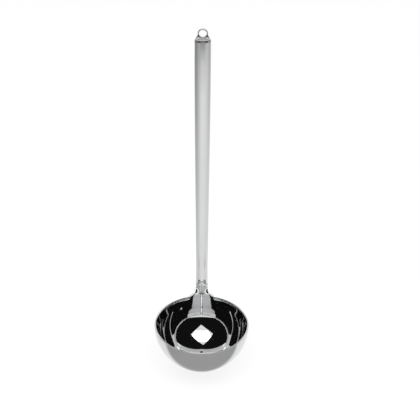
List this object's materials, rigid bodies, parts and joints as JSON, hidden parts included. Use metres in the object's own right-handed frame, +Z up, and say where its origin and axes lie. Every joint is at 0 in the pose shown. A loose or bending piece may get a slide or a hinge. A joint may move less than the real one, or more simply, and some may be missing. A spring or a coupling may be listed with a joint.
{
  "type": "soup ladle",
  "caption": "Soup ladle with a half-round bowl, a hollow upright handle that widens to its top, and a round hanging eye.",
  "frame": {"origin": "middle of the hanging eye's bore, at the top of the handle", "axes": "+Z up, square to the rim of the bowl when it is held level; the handle is at the +Y side of the bowl and leans back by 12 degrees; +X to the right as seen from the front"},
  "size_m": [0.09, 0.1519, 0.3226],
  "materials": {
    "bowl_steel": "mirror-polished stainless steel",
    "neck_steel": "mirror-polished stainless steel",
    "handle_steel": "mirror-polished stainless steel",
    "eye_steel": "mirror-polished stainless steel",
    "weld_steel": "weld metal, ground flush and polished"
  },
  "bodies": {
    "root": {"bowl": "bowl_steel", "neck": "neck_steel", "neck_bowl_weld": "weld_steel", "neck_handle_weld": "weld_steel", "handle_front_shell": "handle_steel", "handle_back_shell": "handle_steel", "handle_seam_weld": "weld_steel", "eye_weld": "weld_steel", "hanging_eye": "eye_steel"}
  },
  "joints": []
}
